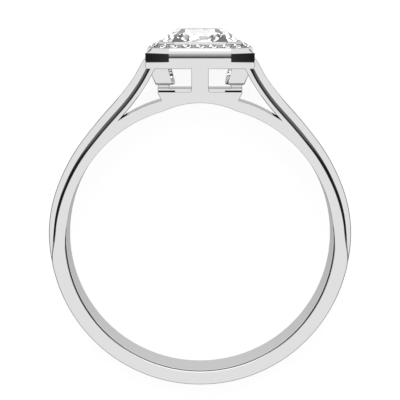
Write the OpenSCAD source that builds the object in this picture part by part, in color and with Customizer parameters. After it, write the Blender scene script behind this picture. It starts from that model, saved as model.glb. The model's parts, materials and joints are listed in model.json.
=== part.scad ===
// Halo ring: a white gold band whose two shoulders rise to a square head with cut corners.
// The band, the shoulders, the gallery and the halo frame are soldered into one piece of metal.
// A strip of small round stones lies in the frame's channel, round a larger cut-cornered stone.
//
// The ring is drawn with the finger hole along Z, the head towards +Y and +X to the right.
// It is then laid on its side as it rests by itself: the back of the head and the bottom of
// the band touch the surface at z = 0, and the origin is under the middle of the bounding box.

/* [Band] */
// Diameter of the finger hole
hole_d = 17; // [16:0.1:18]
// Width of the band along the finger
band_w = 3; // [2.8:0.05:3.4]
// Thickness of the metal ring that carries on under the head
liner_t = 0.68; // [0.6:0.01:0.72]
// Height that the hole rises under the middle of the head
relief_h = 0.2; // [0.1:0.01:0.25]
// Half the width of that rise
relief_half = 2.3; // [1.8:0.1:2.6]

/* [Shoulders] */
// How far the outer layer of a shoulder stands back from the band's two faces
layer_step = 0.22; // [0.15:0.01:0.3]
// Width of the full-width strip between the layer's chamfer and the side opening
web_w = 0.26; // [0.22:0.01:0.3]

/* [Gallery] */
// Height of the rail's lower edge over the middle of the finger hole
rail_v = 10.84; // [10.75:0.01:10.9]
// Half the length of the rail
rail_half = 3.38; // [3.3:0.01:3.4]
// Width of the post in the middle
post_w = 1.08; // [0.9:0.02:1.3]
// Thickness of the front and back walls of the gallery
wall_t = 0.4; // [0.35:0.05:0.5]
// Height of the bridge that the post stands on
bridge_v = 9.33; // [9.28:0.01:9.38]
// Half the length of the bridge at its top
bridge_half = 2.68; // [2.6:0.02:2.76]
// How far the legs stand back from the gallery's faces
leg_step = 0.3; // [0.2:0.05:0.4]
// Thickness of each leg along the finger
leg_t = 0.5; // [0.4:0.05:0.6]
// Inner and outer edge of a leg's face where it leaves the rail
leg_top_in = 2.03; // [2:0.01:2.1]
leg_top_out = 3.27; // [3.2:0.01:3.3]
// Inner and outer edge of a leg's face at its lower end, and the height of that end
leg_low_in = 1.76; // [1.7:0.01:1.8]
leg_low_out = 2.8; // [2.75:0.01:2.85]
leg_low_v = 9.88; // [9.85:0.01:9.9]
// How far a leg's inner side slants in behind its face
leg_flare = 0.19; // [0.1:0.01:0.25]
// Depth of the chamfer at a leg's lower end, and of the one under its shoe
leg_edge = 0.05; // [0.03:0.01:0.06]
shoe_edge = 0.07; // [0.05:0.01:0.09]
// Inner and outer edge of a leg's shoe
shoe_in = 1.95; // [1.8:0.01:2.05]
shoe_out = 2.66; // [2.6:0.01:2.7]
// Underside and top of the bar that the shoes stand on
bar_v = 9.46; // [9.44:0.01:9.5]
bar_top_v = 9.6; // [9.55:0.01:9.62]
// How much is cut off the corners of the block under that bar
block_cut = 1.1; // [0.9:0.05:1.1]
// Half the length of the room between the gallery's front and back walls
room_half = 2.3; // [2.25:0.01:2.35]
// Radius in the lower corners of the two windows
window_r = 0.16; // [0.08:0.02:0.2]

/* [Halo frame] */
// Half the width of the frame across its flat sides
halo_a = 3.42; // [3.38:0.01:3.5]
// Half the length of a flat side
halo_c = 1.91; // [1.85:0.01:1.95]
// Underside of the square sole plate
sole_v = 11.04; // [11:0.01:11.1]
// Height of the sole plate's top, where the cut-cornered wall begins
halo_v = 11.32; // [11.28:0.01:11.34]
// Height where the moulding along each flat side begins
belt_v = 11.585; // [11.55:0.005:11.62]
// Height of the corner panels' top
panel_v = 11.86; // [11.82:0.01:11.88]
// Radius of the moulding, and the height of its middle
bulge_r = 0.516; // [0.5:0.002:0.54]
bulge_v = 11.95; // [11.93:0.01:11.97]
// How far the moulding stands back from the belt
bulge_in = 0.09; // [0.06:0.01:0.12]
// Height of the sharp groove under the moulding
groove_h = 0.045; // [0.03:0.005:0.06]
// Height of the rim's outer edge
rim_v = 12.2; // [12.15:0.01:12.24]
// Depth of the channel that holds the small stones, at the rim
channel_d = 0.28; // [0.2:0.01:0.3]
// Rise of the channel from the rim to the collar
channel_rise = 0.24; // [0.2:0.01:0.26]
// Thickness of the collar round the centre stone
collar_t = 0.12; // [0.1:0.01:0.14]

/* [Stones] */
// Half the width of the centre stone across its flat sides
gem_a = 2.46; // [2.44:0.01:2.47]
// Half the length of a flat side of the centre stone
gem_c = 1.6; // [1.55:0.01:1.65]
// Half the width of the stone's table
table_a = 1.38; // [1.3:0.01:1.45]
// Underside and top of the stone's girdle
girdle_v = 12.44; // [12.42:0.01:12.46]
girdle_top_v = 12.5; // [12.48:0.01:12.52]
// Height of the table
table_v = 13.32; // [13.2:0.01:13.4]
// Height of the culet
culet_v = 10.02; // [10:0.01:10.1]
// Space left between a stone or strip and the metal
gap = 0.02; // [0.01:0.005:0.03]

/* [Hidden] */
$fn = 96;
hole_r = hole_d / 2;
face_t = band_w / 2;
layer_t = face_t - layer_step;
liner_r = hole_r + liner_t;
steps = 108;
deep = 20;

// The shoulder on the right, from the bottom of the band up to the head.
// Columns: angle round the hole, metal over the hole, width of the outer layer, its chamfer
SHOULDER = [
    [-90, 0.94, 0.00, 0.00],
    [-45, 0.97, 0.00, 0.00],
    [-15, 1.03, 0.00, 0.00],
    [-8, 1.08, 0.03, 0.02],
    [0, 1.13, 0.26, 0.10],
    [10, 1.17, 0.35, 0.16],
    [25, 1.17, 0.40, 0.20],
    [35, 1.22, 0.43, 0.22],
    [45, 1.34, 0.46, 0.24],
    [55, 1.63, 0.47, 0.24],
    [62, 2.03, 0.47, 0.24],
    [68, 2.64, 0.43, 0.24],
    [73, 3.50, 0.41, 0.24]
];
ANGLE = 0;
METAL = 1;
LAYER = 2;
CHAMFER = 3;
last_row = len(SHOULDER) - 1;
first_angle = SHOULDER[0][ANGLE];
last_angle = SHOULDER[last_row][ANGLE];
sweep = [for (i = [0:steps]) first_angle + (last_angle - first_angle) * i / steps];

// How far the slanted rim over the corners stands in from the frame's side, at its foot and its top
rim_foot_in = 0.05;
rim_top_in = 0.29;
rim_foot_v = panel_v - 0.02;
rim_in_a = halo_a - rim_top_in;

// The moulding's arc: its centre, where it begins and where it ends
bulge_a = halo_a - bulge_in - bulge_r;
bulge_first = asin((belt_v + groove_h - bulge_v) / bulge_r);
bulge_last = asin((rim_v - bulge_v) / bulge_r);
bulge_steps = 12;
bulge_back_a = rim_in_a - 0.3;

// The collar round the centre stone, and the sloped channel between it and the rim
collar_lap = 0.07;
collar_edge = 0.03;
collar_a = gem_a + gap + collar_t;
collar_v = girdle_top_v + collar_lap;
floor_out_v = rim_v - channel_d;
floor_in_v = floor_out_v + channel_rise;

// The strip of small stones ends a little under the rim's top
strip_under = 0.03;
strip_out_v = rim_v - strip_under;

// How far a piece reaches into the one that it is soldered to
lap = 0.1;

// The keel, where the pavilion's steps meet: half its width, its height, its side's share of that width
keel_a = 1.33;
keel_v = 11.24;
keel_cut = 0.62;
culet_a = 0.03;

// The tilt that lays the head's lower back edge and the band's bottom on the surface
metal_bottom = hole_r + SHOULDER[0][METAL];
tilt = atan((halo_a - face_t) / (sole_v + metal_bottom));
low_z = metal_bottom * sin(tilt) + face_t * cos(tilt);
back_y = -metal_bottom * cos(tilt) - face_t * sin(tilt);
front_y = table_v * cos(tilt) + table_a * sin(tilt);
metal_colour = "gainsboro";
stone_colour = "aliceblue";
melee_colour = "lightsteelblue";

// Finds the row of the shoulder table that an angle falls in
function row_of(a, i = 0) = i >= last_row - 1 || a < SHOULDER[i + 1][ANGLE] ? i : row_of(a, i + 1);

// Slope of one column at a row, from its neighbours
function slope_at(i, column) =
    let (lo = max(i - 1, 0), hi = min(i + 1, last_row))
    (SHOULDER[hi][column] - SHOULDER[lo][column]) / (SHOULDER[hi][ANGLE] - SHOULDER[lo][ANGLE]);

// Smooth value of one column between the rows
function shoulder(a, column) =
    let (
        i = row_of(a),
        span = SHOULDER[i + 1][ANGLE] - SHOULDER[i][ANGLE],
        s = (a - SHOULDER[i][ANGLE]) / span,
        from = SHOULDER[i][column],
        to = SHOULDER[i + 1][column],
        from_slope = slope_at(i, column) * span,
        to_slope = slope_at(i + 1, column) * span
    )
    from * (1 + 2 * s) * pow(1 - s, 2) + to * s * s * (3 - 2 * s)
    + from_slope * s * pow(1 - s, 2) - to_slope * s * s * (1 - s);

function on_outline(a) = (hole_r + shoulder(a, METAL)) * [cos(a), sin(a)];

// Unit vector square to the outline, pointing out of the metal
function outward(a) =
    let (
        along = on_outline(min(a + 1, last_angle)) - on_outline(max(a - 1, first_angle))
    )
    [along[1], -along[0]] / norm(along);

// The right half of the outline, moved into the metal by the widths that are asked for
function half_outline(layer, chamfer, web) = [
    for (a = sweep)
        let (
            in = layer * max(0, shoulder(a, LAYER)) + chamfer * max(0, shoulder(a, CHAMFER)) + web
        )
        on_outline(a) - in * outward(a)
];

// The whole outline at one level: the right half and its mirror image
function outline(layer, chamfer, web = 0) =
    let (right = half_outline(layer, chamfer, web), n = len(right))
    [
        for (p = right) p,
        for (i = [n - 1:-1:1]) [-right[i][0], right[i][1]]
    ];

function at_level(loop, z) = [for (p = loop) [p[0], p[1], z]];

// A square with cut corners: half the width across flats, half the side, height
function octagon(a, c, z) = [
    [a, -c, z], [a, c, z], [c, a, z], [-c, a, z], [-a, c, z], [-a, -c, z], [-c, -a, z], [c, -a, z]
];

// The frame's outline moved in, and the centre stone's moved out, with their sides kept parallel
function in_frame(a, z) = octagon(a, halo_c + (a - halo_a) * tan(22.5), z);
function round_gem(a, z) = octagon(a, gem_c + (a - gem_a) * tan(22.5), z);

// A closed solid through loops of equal length, from the lowest to the highest
module skin(loops) {
    n = len(loops[0]);
    m = len(loops);
    points = [for (loop = loops) for (p = loop) p];
    sides = [
        for (k = [0:m - 2]) for (i = [0:n - 1])
            let (j = (i + 1) % n)
            [k * n + j, k * n + i, (k + 1) * n + i, (k + 1) * n + j]
    ];
    bottom = [for (i = [0:n - 1]) i];
    top = [for (i = [n - 1:-1:0]) (m - 1) * n + i];
    polyhedron(points, concat([bottom], sides, [top]));
}

// Turns a piece drawn upright, like the head, to stand on the band
module on_head() {
    rotate([-90, 0, 0]) children();
}

// Lays the ring on its side
module laid() {
    translate([0, -(front_y + back_y) / 2, low_z]) rotate([tilt, 0, 0]) children();
}

module both_sides() {
    children();
    mirror([1, 0, 0]) children();
}

module slab(half_t) {
    linear_extrude(2 * half_t, center = true) children();
}

// Band, inner strips of the shoulders and all between them, with the chamfer to the outer layer
module band_body() {
    wide = outline(1, 1);
    narrow = outline(1, 0);
    skin([
        at_level(wide, -face_t),
        at_level(narrow, -layer_t),
        at_level(narrow, layer_t),
        at_level(wide, face_t)
    ]);
}

// Outer layer of the shoulders, which stands back from the faces
module shoulder_layers() {
    slab(layer_t) polygon(outline(0, 0));
}

// All that is open between the shoulders, seen along the finger
module openings_2d() {
    difference() {
        intersection() {
            polygon(outline(1, 1, web_w));
            translate([-hole_r, 0]) square([hole_d, rail_v]);
        }
        circle(liner_r);
        translate([-post_w / 2, 0]) square([post_w, rail_v]);
        bridge_2d();
        both_sides() window_corner_2d();
    }
}

module bridge_2d() {
    foot_half_u = bridge_half - lap;
    foot_level = hole_r + relief_h;
    polygon([
        [-foot_half_u, foot_level], [foot_half_u, foot_level],
        [bridge_half, bridge_v], [-bridge_half, bridge_v]
    ]);
}

module window_corner_2d() {
    translate([post_w / 2, bridge_v]) difference() {
        square(window_r);
        translate([window_r, window_r]) circle(window_r, $fn = 24);
    }
}

module rail() {
    rail_top = halo_v + lap;
    slab(face_t) translate([-rail_half, rail_v]) square([2 * rail_half, rail_top - rail_v]);
}

// Room between the gallery's front and back walls
module gallery_room() {
    room_t = face_t - wall_t;
    slab(room_t) translate([-room_half, bridge_v]) square([2 * room_half, rail_v - bridge_v]);
}

// A pair of slanted legs under each end of the head, front and back, each on a small shoe
module legs() {
    out_t = face_t - leg_step;
    back_t = out_t - leg_t;
    shoe_t = out_t - leg_edge;
    for (end = [0, 180]) rotate([0, end, 0]) both_sides() {
        skin([
            leg_loop(leg_flare, leg_low_v - leg_edge, back_t),
            leg_loop(leg_flare * leg_edge / leg_t, leg_low_v - leg_edge, shoe_t),
            leg_loop(0, leg_low_v + leg_edge, out_t)
        ]);
        translate([shoe_in, 0, 0]) rotate([90, 0, 90]) linear_extrude(shoe_out - shoe_in) polygon([
            [bar_top_v - lap / 4, 0],
            [leg_low_v, 0],
            [leg_low_v, shoe_t],
            [bar_top_v + shoe_edge, shoe_t],
            [bar_top_v, shoe_t - shoe_edge],
            [bar_top_v - lap / 4, shoe_t - shoe_edge]
        ]);
    }
}

// Outline of a leg at one depth, its inner edge moved in
function leg_loop(flare, low_v, z) = [
    [leg_top_in - flare, rail_v + lap, z],
    [leg_low_in - flare, low_v, z],
    [leg_low_out, low_v, z],
    [leg_top_out, rail_v + lap, z]
];

// The hole for the finger, with the shallow arch that is cut above it under the head
module finger_hole() {
    arch_top = hole_r + relief_h;
    arch_end = sqrt(hole_r * hole_r - relief_half * relief_half);
    arch_middle = (arch_top * arch_top - hole_r * hole_r) / (2 * (arch_top - arch_end));
    cylinder(h = deep, r = hole_r, center = true, $fn = 180);
    translate([0, arch_middle, 0]) cylinder(h = deep, r = arch_top - arch_middle, center = true);
}

// The bar that the shoes stand on, and the block with cut corners between it and the bridge
module foot_bar() {
    out_t = face_t - leg_step;
    on_head() {
        translate([0, 0, bar_v]) linear_extrude(bar_top_v - bar_v)
            square([2 * bridge_half, 2 * out_t], center = true);
        translate([0, 0, bridge_v - 2 * lap]) linear_extrude(bar_v - bridge_v + 2.25 * lap) both_sides()
            polygon([
                [0, out_t], [bridge_half - block_cut, out_t], [bridge_half, out_t - block_cut],
                [bridge_half, block_cut - out_t], [bridge_half - block_cut, -out_t], [0, -out_t]
            ]);
    }
}

// Frame round the stones: a square sole, a cut-cornered wall with mouldings between its corners,
// and a rim that holds the channel
module halo_frame() {
    on_head() {
        translate([0, 0, sole_v]) linear_extrude(halo_v - sole_v + lap / 4)
            square([2 * rail_half, 2 * halo_a], center = true);
        difference() {
            union() {
                difference() {
                    union() {
                        skin([octagon(halo_a, halo_c, halo_v), octagon(halo_a, halo_c, panel_v)]);
                        skin([
                            in_frame(halo_a - rim_foot_in, rim_foot_v),
                            in_frame(rim_in_a, rim_v)
                        ]);
                    }
                    for (quarter = [0:3]) rotate(90 * quarter) moulding_room();
                }
                for (quarter = [0:3]) rotate(90 * quarter) moulding();
            }
            skin([in_frame(rim_in_a, floor_out_v), in_frame(rim_in_a, rim_v + 1)]);
        }
        channel_core(0, collar_v - collar_edge);
        skin([
            round_gem(collar_a, collar_v - collar_edge),
            round_gem(collar_a - collar_edge, collar_v)
        ]);
    }
}

// All that is cut away along one flat side before its moulding goes in
module moulding_room() {
    translate([-halo_c, bulge_back_a, belt_v]) cube([2 * halo_c, 1, 1]);
}

// The rounded moulding along one flat side
module moulding() {
    rotate([90, 0, 90]) linear_extrude(2 * halo_c, center = true) polygon([
        [bulge_back_a, belt_v - lap / 2],
        [bulge_back_a + lap / 10, belt_v],
        for (i = [0:bulge_steps])
            let (a = bulge_first + (bulge_last - bulge_first) * i / bulge_steps)
            [bulge_a + bulge_r * cos(a), bulge_v + bulge_r * sin(a)],
        [bulge_back_a, rim_v]
    ]);
}

// The channel's sloped floor and the collar inside it, moved out by a clearance
module channel_core(clear, top_v) {
    skin([
        in_frame(rim_in_a, floor_out_v - lap),
        in_frame(rim_in_a, floor_out_v + clear),
        round_gem(collar_a + clear, floor_in_v + clear),
        round_gem(collar_a + clear, top_v)
    ]);
}

// The centre stone's outside, moved out by a clearance
module gem_form(clear) {
    on_head() skin([
        octagon(culet_a + clear, culet_a + clear, culet_v - clear),
        octagon(keel_a + clear, keel_a * keel_cut + clear / 2, keel_v - clear / 2),
        round_gem(gem_a + clear, girdle_v - clear / 2),
        round_gem(gem_a + clear, girdle_top_v + clear / 2),
        round_gem(table_a + clear, table_v + clear)
    ]);
}

module ring_mount() {
    color(metal_colour) laid() difference() {
        union() {
            difference() {
                union() {
                    band_body();
                    shoulder_layers();
                    rail();
                }
                slab(deep) openings_2d();
                gallery_room();
            }
            legs();
            foot_bar();
            halo_frame();
        }
        gem_form(gap);
        finger_hole();
    }
}

// The strip that the small stones and their beads make, sloped down from the collar to the rim
module halo_melee() {
    out_a = rim_in_a - gap;
    in_a = collar_a - gap;
    slope = channel_rise / (rim_in_a - collar_a);
    color(melee_colour) laid() on_head() difference() {
        skin([
            in_frame(out_a, floor_out_v - lap),
            in_frame(out_a, strip_out_v),
            round_gem(in_a, strip_out_v + slope * (out_a - in_a))
        ]);
        channel_core(gap, collar_v + 1);
    }
}

module centre_stone() {
    color(stone_colour) laid() gem_form(0);
}

ring_mount();
halo_melee();
centre_stone();
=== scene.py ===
import json
import math

import bmesh
import bpy
from mathutils import Matrix, Vector


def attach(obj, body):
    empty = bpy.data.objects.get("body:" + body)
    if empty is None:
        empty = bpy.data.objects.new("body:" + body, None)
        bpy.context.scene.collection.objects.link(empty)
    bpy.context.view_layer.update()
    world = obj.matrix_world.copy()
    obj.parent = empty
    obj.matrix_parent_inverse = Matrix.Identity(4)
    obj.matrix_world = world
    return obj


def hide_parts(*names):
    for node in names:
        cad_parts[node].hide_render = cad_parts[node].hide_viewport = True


# The ring's own axes: across, towards the head, and along the finger
# The ring lies on its side, so the record's finger hole gives where it is and how it leans.
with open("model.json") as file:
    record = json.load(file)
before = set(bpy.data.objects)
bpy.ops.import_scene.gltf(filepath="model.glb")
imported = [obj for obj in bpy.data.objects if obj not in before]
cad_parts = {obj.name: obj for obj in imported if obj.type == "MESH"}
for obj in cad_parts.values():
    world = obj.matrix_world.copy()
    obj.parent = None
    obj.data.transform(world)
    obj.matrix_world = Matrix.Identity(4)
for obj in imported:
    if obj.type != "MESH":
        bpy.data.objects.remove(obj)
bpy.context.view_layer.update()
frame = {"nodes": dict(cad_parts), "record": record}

MM = 0.001
bore = next(m for m in frame["record"]["mounts"] if m["name"] == "finger_bore")
along_finger = Vector(bore["axis"]).normalized()
across = Vector((1, 0, 0))
to_head = along_finger.cross(across)
ring_axes = Matrix((across, to_head, along_finger)).transposed().to_4x4()
ring_frame = Matrix.Translation(bore["pos_m"]) @ ring_axes @ Matrix.Scale(MM, 4)


def on_ring(u, v, t):
    """World place of a point of the ring: across, towards the head, along the finger, in mm."""
    return ring_frame @ Vector((u, v, t))


# Camera: looks along the finger from a little above the middle of the hole, as the photo does
# It stands far off, so the hole's far edge shows only a little smaller. The head points up in the picture.
EYE = (0, 15.46, 100.8)
AIM = (0, 2.555, 1.5)
LENS = 142.1
SENSOR = 36
CLIP = (0.005, 10)
eye = on_ring(*EYE)
back = (eye - on_ring(*AIM)).normalized()
camera_data = bpy.data.cameras.new("camera")
camera_data.sensor_width = SENSOR
camera_data.lens = LENS
camera_data.clip_start, camera_data.clip_end = CLIP
camera = bpy.data.objects.new("camera", camera_data)
bpy.context.scene.collection.objects.link(camera)
facing_ring = Matrix((across, back.cross(across), back)).transposed().to_4x4()
camera.matrix_world = Matrix.Translation(eye) @ facing_ring
bpy.context.scene.camera = camera
bpy.context.scene.view_settings.view_transform = "Standard"


# Studio floor: a sheet of matt white acrylic, lit from below, that the ring lies on
# It is part of the studio, not of the ring.
def linear(hex_colour):
    """Linear RGBA of an sRGB hex colour."""
    channels = [int(hex_colour[i : i + 2], 16) / 255 for i in (0, 2, 4)]
    return [c / 12.92 if c <= 0.04045 else ((c + 0.055) / 1.055) ** 2.4 for c in channels] + [1]


def add_node(tree, kind, settings=None, links=None):
    """A node of that kind, with its settings and what its inputs take."""
    node = tree.nodes.new(kind)
    for name, value in (settings or {}).items():
        setattr(node, name, value)
    for socket, source in (links or {}).items():
        if isinstance(source, bpy.types.NodeSocket):
            tree.links.new(source, node.inputs[socket])
        else:
            node.inputs[socket].default_value = source
    return node


def new_material(name):
    """A material whose node tree holds nothing yet."""
    material = bpy.data.materials.new(name)
    material.use_nodes = True
    material.node_tree.nodes.clear()
    return material, material.node_tree


def new_object(name, bm, material):
    """An object made of that mesh and material."""
    mesh = bpy.data.meshes.new(name)
    bm.to_mesh(mesh)
    bm.free()
    mesh.materials.append(material)
    made = bpy.data.objects.new(name, mesh)
    bpy.context.scene.collection.objects.link(made)
    return made


# The light from below gives an even white ground, on which the ring's shadows are pale and soft.
FLOOR_HALF = 0.5
acrylic, tree = new_material("backlit_white_acrylic")
shader = add_node(
    tree,
    "ShaderNodeBsdfPrincipled",
    links={
        "Base Color": linear("b4b4b4"),
        "Roughness": 0.9,
        "Specular IOR Level": 0.0,
        "Emission Color": linear("ffffff"),
        "Emission Strength": 0.84,
    },
)
add_node(tree, "ShaderNodeOutputMaterial", links={"Surface": shader.outputs["BSDF"]})
bm = bmesh.new()
bmesh.ops.create_grid(bm, x_segments=1, y_segments=1, size=FLOOR_HALF)
floor = new_object("studio_floor", bm, acrylic)
floor.visible_glossy = False

# Studio light: the tent, cards and lamp that the polished metal and the stones show, all in the sky
# A soft tent is bright overhead, dark at the horizon and pale below it. In it hang a soft box before the
# head, pale cards low before and behind it, and black flags at both sides.

# Columns of the tent: elevation in degrees, brightness
TENT = [
    (-90, 0.42),
    (-83, 0.48),
    (-71, 0.62),
    (-38, 0.74),
    (-32, 0.74),
    (-29, 0.03),
    (-12, 0.01),
    (-2, 0.012),
    (0.5, 0.08),
    (8, 0.17),
    (15, 0.14),
    (22, 0.11),
    (31, 0.14),
    (40, 0.25),
    (49, 0.42),
    (64, 0.58),
    (70, 0.82),
    (90, 0.82),
]
# Columns of the cards: brightness, the side that a card hangs on, the side that it leaves room for, the share
# of that room, where its two side edges fade in, and the elevations in degrees between which it fades in
CARDS = [
    (1.15, "ahead", "sideways", 0.8, (0.04, 0.12), [(40, 48)]),
    (0.82, "ahead or behind", "sideways", 0.5, (0.02, 0.16), [(-10, -13), (-50, -35)]),
    (0.01, "sideways", "ahead or behind", 1.1, (0.0, 0.1), [(9, 13), (47, 42)]),
]
# The colour inputs of a Mix node, and its colour output
FIRST = 6
SECOND = 7
MIXED = 2
world = bpy.data.worlds.new("studio")
bpy.context.scene.world = world
world.use_nodes = True
tree = world.node_tree
tree.nodes.clear()
direction = add_node(tree, "ShaderNodeTexCoord")
parts = add_node(tree, "ShaderNodeSeparateXYZ", links={"Vector": direction.outputs["Generated"]})
elevation = add_node(tree, "ShaderNodeMath", {"operation": "ARCSINE"}, {0: parts.outputs["Z"]})
up_the_tent = add_node(
    tree,
    "ShaderNodeMapRange",
    links={"Value": elevation.outputs[0], "From Min": -math.pi / 2, "From Max": math.pi / 2},
)
tent = add_node(tree, "ShaderNodeValToRGB", links={"Fac": up_the_tent.outputs["Result"]})
stops = tent.color_ramp.elements
while len(stops) < len(TENT):
    stops.new(0.5)
for stop, (degrees, brightness) in zip(stops, TENT):
    stop.position = (degrees + 90) / 180
    stop.color = (brightness, brightness, brightness, 1)

sides = {
    "ahead": parts.outputs["Y"],
    "ahead or behind": add_node(
        tree, "ShaderNodeMath", {"operation": "ABSOLUTE"}, {0: parts.outputs["Y"]}
    ).outputs[0],
    "sideways": add_node(
        tree, "ShaderNodeMath", {"operation": "ABSOLUTE"}, {0: parts.outputs["X"]}
    ).outputs[0],
}
colour = tent.outputs["Color"]
for brightness, hangs, beside, room, edges, heights in CARDS:
    inside = add_node(
        tree,
        "ShaderNodeMath",
        {"operation": "MULTIPLY_ADD"},
        {0: sides[beside], 1: -room, 2: sides[hangs]},
    )
    fades = [(inside, edges)]
    fades += [(elevation, [math.radians(degrees) for degrees in height]) for height in heights]
    share = 1.0
    for value, (outer, inner) in fades:
        fade = add_node(
            tree,
            "ShaderNodeMapRange",
            {"interpolation_type": "SMOOTHSTEP"},
            {"Value": value.outputs[0], "From Min": outer, "From Max": inner},
        )
        both = add_node(
            tree,
            "ShaderNodeMath",
            {"operation": "MULTIPLY"},
            {0: fade.outputs["Result"], 1: share},
        )
        share = both.outputs[0]
    card = add_node(
        tree,
        "ShaderNodeMix",
        {"data_type": "RGBA"},
        {"Factor": share, FIRST: colour, SECOND: (brightness, brightness, brightness, 1)},
    )
    colour = card.outputs[MIXED]

# The lamp before the head is so small that only the stones' perfectly smooth facets catch it.
LAMP = 3.6
LAMP_BELOW = math.radians(23)
LAMP_EDGE = (11, 7)
BACKDROP = "f4f4f4"
seen = add_node(tree, "ShaderNodeLightPath")
from_lamp = add_node(
    tree,
    "ShaderNodeVectorMath",
    {"operation": "DOT_PRODUCT"},
    {0: direction.outputs["Generated"], 1: (0, math.cos(LAMP_BELOW), -math.sin(LAMP_BELOW))},
)
lamp_share = add_node(
    tree,
    "ShaderNodeMapRange",
    {"interpolation_type": "SMOOTHSTEP"},
    {
        "Value": from_lamp.outputs["Value"],
        "From Min": math.cos(math.radians(LAMP_EDGE[0])),
        "From Max": math.cos(math.radians(LAMP_EDGE[1])),
    },
)
on_facets = add_node(
    tree,
    "ShaderNodeMath",
    {"operation": "MULTIPLY"},
    {0: lamp_share.outputs["Result"], 1: seen.outputs["Is Singular Ray"]},
)
with_lamp = add_node(
    tree,
    "ShaderNodeMix",
    {"data_type": "RGBA"},
    {"Factor": on_facets.outputs[0], FIRST: colour, SECOND: (LAMP, LAMP, LAMP, 1)},
)
with_backdrop = add_node(
    tree,
    "ShaderNodeMix",
    {"data_type": "RGBA"},
    {
        "Factor": seen.outputs["Is Camera Ray"],
        FIRST: with_lamp.outputs[MIXED],
        SECOND: linear(BACKDROP),
    },
)

# Light that has gone through a stone comes from bright panels all round, with dark gaps between them.
GEM_LIGHT = 3.0
GEM_DARK = 0.02
GEM_PANELS = 2.6
GEM_PANEL_EDGE = (0.2, 0.4)
GEM_PANELS_FROM = (0.4, -0.9, 0.3)
off_centre = add_node(
    tree,
    "ShaderNodeVectorMath",
    {"operation": "ADD"},
    {0: direction.outputs["Generated"], 1: GEM_PANELS_FROM},
)
panels = add_node(
    tree,
    "ShaderNodeTexWave",
    {"wave_type": "RINGS", "rings_direction": "SPHERICAL"},
    {"Vector": off_centre.outputs[0], "Scale": GEM_PANELS},
)
panel_light = add_node(
    tree,
    "ShaderNodeMapRange",
    links={
        "Value": panels.outputs["Fac"],
        "From Min": GEM_PANEL_EDGE[0],
        "From Max": GEM_PANEL_EDGE[1],
        "To Min": GEM_DARK,
        "To Max": GEM_LIGHT,
    },
)
through_gem = add_node(
    tree,
    "ShaderNodeMix",
    {"data_type": "RGBA"},
    {
        "Factor": seen.outputs["Transmission Depth"],
        FIRST: with_backdrop.outputs[MIXED],
        SECOND: panel_light.outputs["Result"],
    },
)
light = add_node(tree, "ShaderNodeBackground", links={"Color": through_gem.outputs[MIXED]})
add_node(tree, "ShaderNodeOutputWorld", links={"Surface": light.outputs[0]})

# Mount: band, shoulders, gallery and halo frame, cast and soldered in one piece of white gold
# It is filed to shape, polished all over and plated with rhodium. Polishing softens every edge a little, and
# the lower part of the finger hole's edge the most. Sizes are in mm, in the ring's own axes.

# Rhodium is a cool grey mirror. Its haze of polishing scratches is too fine to show, so it is drawn coarser.
SCRATCH = 0.02
DRAWN_COARSER = 10
POLISH = (0.03, 0.07)
white_gold, tree = new_material("polished_rhodium_white_gold")
place = add_node(tree, "ShaderNodeTexCoord")
scratches = add_node(
    tree,
    "ShaderNodeTexNoise",
    links={"Vector": place.outputs["Object"], "Scale": 1 / (SCRATCH * DRAWN_COARSER * MM), "Detail": 4.0},
)
polish = add_node(
    tree,
    "ShaderNodeMapRange",
    links={"Value": scratches.outputs["Fac"], "To Min": POLISH[0], "To Max": POLISH[1]},
)
shader = add_node(
    tree,
    "ShaderNodeBsdfPrincipled",
    links={"Base Color": linear("f4f4f5"), "Metallic": 1.0, "Roughness": polish.outputs["Result"]},
)
add_node(tree, "ShaderNodeOutputMaterial", links={"Surface": shader.outputs["BSDF"]})

# Painted shade: the narrow tips of the openings between band and shoulders lie in shadow, so they are painted
# dark and matt.
RECESS = (5.08, 7.64)
RECESS_REACH = 0.5
RECESS_UPRIGHT = 0.5
recess_shade, tree = new_material("painted_recess_shade_metal")
shader = add_node(
    tree,
    "ShaderNodeBsdfPrincipled",
    links={"Base Color": linear("2a2a2b"), "Metallic": 0.5, "Roughness": 0.6},
)
add_node(tree, "ShaderNodeOutputMaterial", links={"Surface": shader.outputs["BSDF"]})

# How far apart two corners may lie and still be one, and two levels and still be the same
MERGE = 0.002
NEAR = 0.005
# The bridge under the gallery's post: its top and half length, how far filing moves its top, the lower corner
# of the windows over it, the underside of the bar behind it, and where its ends are and go at their foot
BRIDGE_TOP = 9.33
BRIDGE_HALF = 2.68
BRIDGE_RISE = 0.06
WINDOW_CORNER = (0.71, 9.495)
BAR_UNDER = 9.46
BRIDGE_END = 2.56
BRIDGE_END_LOW = (8.55, 9.03)
BRIDGE_FOOT = (2.43, 8.852)


def in_ring(place):
    """A world place in the ring's own axes, in mm."""
    return ring_frame.inverted() @ place


def file_bridge(bm):
    """Sets the bridge's top and the windows' lower corners a little higher, and slants its ends in."""
    for v in bm.verts:
        at = in_ring(v.co)
        if abs(at.x) > BRIDGE_HALF + NEAR:
            continue
        in_corner = abs(at.x) < WINDOW_CORNER[0] and BRIDGE_TOP < at.y < WINDOW_CORNER[1]
        if abs(at.y - BRIDGE_TOP) < NEAR or (in_corner and abs(at.y - BAR_UNDER) > NEAR):
            v.co = on_ring(at.x, at.y + BRIDGE_RISE, at.z)
        elif abs(at.x) > BRIDGE_END and BRIDGE_END_LOW[0] < at.y < BRIDGE_END_LOW[1]:
            v.co = on_ring(math.copysign(BRIDGE_FOOT[0], at.x), BRIDGE_FOOT[1], at.z)


# How far from the middle the mouldings end, and the level of the underside of the halo's sole
MOULDING_END = 1.91
SOLE_UNDER = 11.04


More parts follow.
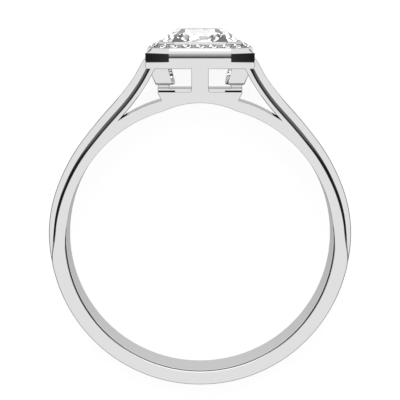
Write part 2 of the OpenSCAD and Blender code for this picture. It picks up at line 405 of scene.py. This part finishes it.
def stays_crisp(ends):
    """True for the mouldings' square-cut ends and for the lower edges of the halo's sole."""
    under = all(abs(p.y - SOLE_UNDER) < NEAR for p in ends)
    from_end = [min(abs(abs(p.x) - MOULDING_END), abs(abs(p.z) - MOULDING_END)) for p in ends]
    return under or (max(from_end) < NEAR and min(p.y for p in ends) > SOLE_UNDER)


# How far edges are rounded: most of them, the band's outline, and the hole's edge low down and at the top
EDGE_ROUND = 0.035
OUTLINE_ROUND = 0.06
HOLE_ROUND = 0.18
HOLE_ROUND_TOP = 0.03
# The heights between which the hole's edge gets crisp, and how the band's outline is told from other edges
HOLE_FADE = (-0.5, 1.5)
OUTLINE_REACH = 9.2
OUTLINE_TOP = 9.0
hole_r = bore["dims"]["r_mm"]


def softness(edge):
    """How far polishing has rounded an edge, in mm."""
    ends = [in_ring(v.co) for v in edge.verts]
    reach = [math.hypot(p.x, p.y) for p in ends]
    height = sum(p.y for p in ends) / 2
    if stays_crisp(ends):
        return 0
    if abs(ends[0].z - ends[1].z) < NEAR and max(abs(r - hole_r) for r in reach) < NEAR:
        share = min(1, max(0, (height - HOLE_FADE[0]) / (HOLE_FADE[1] - HOLE_FADE[0])))
        return HOLE_ROUND + (HOLE_ROUND_TOP - HOLE_ROUND) * share
    if min(reach) > OUTLINE_REACH and height < OUTLINE_TOP:
        return OUTLINE_ROUND
    return EDGE_ROUND


# The bend up to which two faces are one, the bend from which an edge is rounded, and in how many steps
SAME_PLANE = math.radians(0.3)
CORNER = math.radians(25)
ROUND_STEPS = 3
bm = bmesh.new()
bm.from_mesh(frame["nodes"]["ring_mount"].data)
bmesh.ops.remove_doubles(bm, verts=bm.verts, dist=MERGE * MM)
bmesh.ops.dissolve_limit(bm, angle_limit=SAME_PLANE, verts=bm.verts, edges=bm.edges)
file_bridge(bm)
weight = bm.edges.layers.float.new("bevel_weight_edge")
for edge in bm.edges:
    if edge.is_convex and edge.calc_face_angle(0) > CORNER:
        edge[weight] = softness(edge) / HOLE_ROUND
mount = new_object("ring_mount_polished", bm, white_gold)
rounding = mount.modifiers.new("polished_edges", "BEVEL")
rounding.limit_method = "WEIGHT"
rounding.width = HOLE_ROUND * MM
rounding.segments = ROUND_STEPS
rounding.use_clamp_overlap = False
rounding.loop_slide = False
mount.data = bpy.data.meshes.new_from_object(mount.evaluated_get(bpy.context.evaluated_depsgraph_get()))
mount.modifiers.clear()
mount.data.shade_smooth()

# The angle from which an edge shows, and the area in square mm from which a face rules its corners' shading
CREASE = math.radians(35)
LARGE_FACE = 0.3


def shade_flat_and_round(mesh, crease, large):
    """Gives each corner of a face the mean normal of the large faces beside it, or else of the small ones."""
    around = [[] for _ in mesh.vertices]
    for polygon in mesh.polygons:
        for v in polygon.vertices:
            around[v].append(polygon)
    normals = [None] * len(mesh.loops)
    for polygon in mesh.polygons:
        for corner in polygon.loop_indices:
            near = [
                p
                for p in around[mesh.loops[corner].vertex_index]
                if p.normal.angle(polygon.normal, math.pi) < crease
            ]
            faces = [p for p in near if p.area > large] or near
            normals[corner] = sum((p.normal * p.area for p in faces), Vector()).normalized()
    mesh.normals_split_custom_set(normals)


def facing_in_ring(polygon):
    """The way that a face looks, in the ring's own axes."""
    return (ring_axes.inverted().to_3x3() @ polygon.normal).normalized()


def turn_corner_normals(mesh, turned):
    """Turns the shading normal at the corners of some faces: the rule gives each one's turn, in ring axes."""
    normals = [Vector(corner.vector) for corner in mesh.corner_normals]
    for polygon in mesh.polygons:
        facing = facing_in_ring(polygon)
        for corner in polygon.loop_indices:
            turn = turned(in_ring(mesh.vertices[mesh.loops[corner].vertex_index].co), facing)
            if turn:
                normals[corner] = (normals[corner] + ring_axes.to_3x3() @ Vector(turn)).normalized()
    mesh.normals_split_custom_set(normals)


# The shoulders' slanted strips: their place, their slant, and how hollow they are at their two sides
STRIP_FROM = 3.0
STRIP_UNDER = 11
STRIP_SLANT = (0.6, 0.76)
STRIP_OUTER = 1.4
HOLLOW_FROM = 2.5
HOLLOW_FULL = 5.0
HOLLOW_INSIDE = 0.16
HOLLOW_OUTSIDE = 0.05
# The collar's cut corners: where the collar begins, how upright and how diagonal they are, and their lean
COLLAR_FOOT = 12.36
COLLAR_UPRIGHT = 0.3
COLLAR_DIAGONAL = 0.6
BURNISH = 0.8


def hollow_and_burnished(at, facing):
    """Turn of a normal: the strips are a little hollow, and the collar's corners are rubbed in."""
    outward = facing.x * at.x + facing.y * at.y > 0
    slanted = STRIP_SLANT[0] < abs(facing.z) < STRIP_SLANT[1]
    if outward and slanted and abs(at.x) > STRIP_FROM and at.y < STRIP_UNDER:
        share = min(1, max(0, (at.y - HOLLOW_FROM) / (HOLLOW_FULL - HOLLOW_FROM)))
        depth = -HOLLOW_INSIDE if abs(at.z) > STRIP_OUTER else HOLLOW_OUTSIDE
        return (0, 0, math.copysign(depth, depth * at.z) * share)
    diagonal = min(abs(facing.x), abs(facing.z)) > COLLAR_DIAGONAL
    if at.y > COLLAR_FOOT and diagonal and abs(facing.y) < COLLAR_UPRIGHT:
        return (0, BURNISH, 0)
    return None


shade_flat_and_round(mount.data, CREASE, LARGE_FACE * MM * MM)
turn_corner_normals(mount.data, hollow_and_burnished)
# Painted shade: the upright faces in the tips of the openings take the dark material.
mount.data.materials.append(recess_shade)
for polygon in mount.data.polygons:
    at = in_ring(polygon.center)
    in_tip = math.hypot(abs(at.x) - RECESS[0], at.y - RECESS[1]) < RECESS_REACH
    if in_tip and abs(facing_in_ring(polygon).z) < RECESS_UPRIGHT:
        polygon.material_index = 1
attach(mount, "root")
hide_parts("ring_mount")

# Centre stone: a cut-cornered square diamond in a thin collar, ground to many small flat facets
# Each facet is a plane, given by its direction round the stone, its slope and its reach at the girdle.
head_frame = ring_frame @ Matrix.Rotation(math.radians(-90), 4, "X")


def in_head(node):
    """The corners of a CAD node in the head's own axes, in mm: across, back, and up out of the finger."""
    to_mm = head_frame.inverted()
    return [to_mm @ v.co for v in frame["nodes"][node].data.vertices]


ON_PLANE = 1e-5


def grind(bm, direction, slope, reach, level, up):
    """Cuts one facet: it meets the given level that far from the axis and slopes away above or below it."""
    side = Vector((math.cos(direction), math.sin(direction), 0))
    normal = side * math.sin(slope) + Vector((0, 0, up * math.cos(slope)))
    bmesh.ops.bisect_plane(
        bm,
        geom=bm.verts[:] + bm.edges[:] + bm.faces[:],
        plane_co=side * reach + Vector((0, 0, level)),
        plane_no=normal,
        clear_outer=True,
        dist=ON_PLANE,
    )
    bmesh.ops.holes_fill(bm, edges=[e for e in bm.edges if e.is_boundary], sides=0)


def prism(outline, bottom, top):
    """A closed block of that outline."""
    bm = bmesh.new()
    rings = [[bm.verts.new((x, y, z)) for x, y in outline] for z in (bottom, top)]
    count = len(outline)
    for i in range(count):
        j = (i + 1) % count
        bm.faces.new((rings[0][i], rings[0][j], rings[1][j], rings[1][i]))
    bm.faces.new(rings[0][::-1])
    bm.faces.new(rings[1])
    return bm


# How close to the farthest corner of a CAD node, in mm, another corner counts as level with it
LEVEL = 0.001
corners = in_head("centre_stone")
gem_half = max(p.x for p in corners)
girdle = [p for p in corners if p.x > gem_half - LEVEL]
gem_corner = max(p.y for p in girdle)
girdle_low = min(p.z for p in girdle)
girdle_top = max(p.z for p in girdle)
table_level = max(p.z for p in corners)
culet_level = min(p.z for p in corners)

# Columns: direction from the middle of a side, slope, and reach at the girdle, in degrees and mm
CROWN = [
    (0, 47, 2.475),
    (17, 40, 2.66),
    (31, 45, 2.86),
    (45, 40, 2.86),
    (0, 30, 2.80),
    (33, 31, 3.00),
]
PAVILION = [
    (0, 46.7, 2.455),
    (45, 42.5, 2.86),
    (22, 46.5, 2.80),
    (0, 43.0, 2.28),
    (12, 43.8, 2.36),
    (34, 42.0, 2.62),
    (45, 39.4, 2.70),
]
outline = []
side = [(gem_half, -gem_corner), (gem_half, gem_corner)]
for quarter in range(4):
    outline += side
    side = [(-y, x) for x, y in side]
bm = prism(outline, culet_level, table_level)
for quarter in range(4):
    for facets, level, up in ((CROWN, girdle_top, 1), (PAVILION, girdle_low, -1)):
        for offset, slope, reach in facets:
            for way in sorted({offset, -offset}):
                turn = math.radians(90 * quarter + way)
                grind(bm, turn, math.radians(slope), reach, level, up)

# Diamond bends light more than other clear stones, so each facet flashes white or stays dark. A trace of
# light of its own stands for the fire of facets too small to grind here.
DIAMOND_IOR = 2.417
SPARKLE = 0.03
diamond, tree = new_material("faceted_white_diamond")
shader = add_node(
    tree,
    "ShaderNodeBsdfPrincipled",
    links={
        "Base Color": linear("ffffff"),
        "Roughness": 0.0,
        "IOR": DIAMOND_IOR,
        "Transmission Weight": 1.0,
        "Emission Color": linear("ffffff"),
        "Emission Strength": SPARKLE,
    },
)
add_node(tree, "ShaderNodeOutputMaterial", links={"Surface": shader.outputs["BSDF"]})
bm.transform(head_frame)
gem = new_object("centre_diamond", bm, diamond)
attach(gem, "root")
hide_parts("centre_stone")

# Halo bed: a sloping strip of white gold in the halo's channel, drilled with a seat for each small stone
# Beads raised from the metal between the seats hold the stones: four in each gap, two inside, two outside.
MELEE_D = 0.55
MELEE_PITCH = 0.82
MELEE_SIDE = 5
CORNER_SEAT = 2.29
SEAT_UNDER = 0.04
DRILL_D = 0.98 * MELEE_D
DRILL_SIDES = 32
DRILL_HALF = 1
BEAD_D = 0.15
BEAD_ALONG = 0.085
BEAD_ACROSS = 0.16
BEAD_SIDES = (12, 8)
melee = in_head("halo_melee")
strip_out = max(p.x for p in melee)
strip_in_level = max(p.z for p in melee)
strip_out_level = max(p.z for p in melee if p.x > strip_out - LEVEL)
strip_in = max(p.x for p in melee if p.z > strip_in_level - LEVEL)
strip_middle = (strip_out + strip_in) / 2
strip_level = (strip_out_level + strip_in_level) / 2
lean = math.atan2(strip_in_level - strip_out_level, strip_out - strip_in)


def round_outline(diameter, sides):
    """Corners of a regular outline of that many sides."""
    turns = [2 * math.pi * i / sides for i in range(sides)]
    return [(diameter / 2 * math.cos(a), diameter / 2 * math.sin(a)) for a in turns]


def copies(bm, source, places):
    """Adds a copy of the source mesh at each of the places."""
    for place in places:
        before = len(bm.verts)
        bm.from_mesh(source)
        bm.verts.ensure_lookup_table()
        bmesh.ops.transform(bm, matrix=place, verts=bm.verts[before:])


def to_mesh(name, bm):
    """The mesh kept for copies."""
    mesh = bpy.data.meshes.new(name)
    bm.to_mesh(mesh)
    bm.free()
    return mesh


seats = []
for quarter in range(4):
    for place in range(MELEE_SIDE):
        seats.append((90 * quarter, strip_middle, (place - (MELEE_SIDE - 1) / 2) * MELEE_PITCH))
    seats.append((90 * quarter + 45, CORNER_SEAT * math.sqrt(2), 0))
seat_frames = [
    head_frame
    @ Matrix.Rotation(math.radians(direction), 4, "Z")
    @ Matrix.Translation((reach, shift, strip_level))
    @ Matrix.Rotation(lean, 4, "Y")
    for direction, reach, shift in seats
]
bm = bmesh.new()
bm.from_mesh(frame["nodes"]["halo_melee"].data)
bmesh.ops.translate(bm, verts=bm.verts, vec=-to_head * SEAT_UNDER * MM)
bed = new_object("halo_bed", bm, white_gold)
bm = bmesh.new()
drill = prism(round_outline(DRILL_D, DRILL_SIDES), -DRILL_HALF, DRILL_HALF)
copies(bm, to_mesh("drill", drill), seat_frames)
drills = new_object("drills", bm, white_gold)
drilling = bed.modifiers.new("seats", "BOOLEAN")
drilling.object = drills
drilled = bed.evaluated_get(bpy.context.evaluated_depsgraph_get()).to_mesh()
bm = bmesh.new()
bm.from_mesh(drilled)
bpy.data.objects.remove(drills)
bpy.data.objects.remove(bed)

bead = bmesh.new()
bmesh.ops.create_uvsphere(bead, u_segments=BEAD_SIDES[0], v_segments=BEAD_SIDES[1], radius=BEAD_D / 2)
bead_places = []
for i, here in enumerate(seat_frames):
    there = seat_frames[(i + 1) % len(seat_frames)]
    middle = (here.to_translation() + there.to_translation()) / 2
    up = (here.col[2].to_3d() + there.col[2].to_3d()).normalized()
    along = (there.to_translation() - here.to_translation()).normalized()
    out = along.cross(up)
    for a in (-BEAD_ALONG, BEAD_ALONG):
        for c in (-BEAD_ACROSS, BEAD_ACROSS):
            spot = middle + (along * a + out * c) * MM
            bead_places.append(Matrix.Translation(spot) @ ring_axes @ Matrix.Scale(MM, 4))
copies(bm, to_mesh("bead", bead), bead_places)
for face in bm.faces:
    face.smooth = True
bed = new_object("halo_bed", bm, white_gold)
bed.data.set_sharp_from_angle(angle=CREASE)
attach(bed, "root")
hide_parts("halo_melee")

# Small stones: twenty-four round brilliant diamonds, all cut alike, one in each seat of the halo bed
# The beads round a seat hold its stone. The stones lean out with the bed, so they face up and outwards.
GIRDLE_OVER = 0.03
GIRDLE_SIDES = 16
CULET_DEPTH = 0.4 * MELEE_D
TABLE_HEIGHT = 0.15 * MELEE_D
# Columns: direction from the middle of an eighth and slope, in degrees, reach as a share of the radius,
# level in mm, and 1 for the crown or -1 for the pavilion
BRILLIANT = [
    (0, 34.5, 0.995, 0.01, 1),
    (22.5, 24, 0.93, 0.01, 1),
    (11.25, 41, 0.99, 0.01, 1),
    (-11.25, 41, 0.99, 0.01, 1),
    (0, 40.8, 0.96, -0.01, -1),
    (11.25, 42.5, 0.99, -0.01, -1),
    (-11.25, 42.5, 0.99, -0.01, -1),
]
brilliant = prism(round_outline(MELEE_D, GIRDLE_SIDES), -CULET_DEPTH, TABLE_HEIGHT)
for eighth in range(8):
    for offset, slope, reach, level, up in BRILLIANT:
        turn = math.radians(45 * eighth + offset)
        grind(brilliant, turn, math.radians(slope), reach * MELEE_D / 2, level, up)
bm = bmesh.new()
over = Matrix.Translation((0, 0, GIRDLE_OVER))
copies(bm, to_mesh("one_brilliant", brilliant), [f @ over for f in seat_frames])

# Clear diamond: the small facets give points of white between the grey ones.
small_diamond, tree = new_material("small_brilliant_diamond")
shader = add_node(
    tree,
    "ShaderNodeBsdfPrincipled",
    links={
        "Base Color": linear("ffffff"),
        "Roughness": 0.0,
        "IOR": DIAMOND_IOR,
        "Transmission Weight": 1.0,
    },
)
add_node(tree, "ShaderNodeOutputMaterial", links={"Surface": shader.outputs["BSDF"]})
small = new_object("halo_diamonds", bm, small_diamond)
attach(small, "root")
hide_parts("halo_melee")
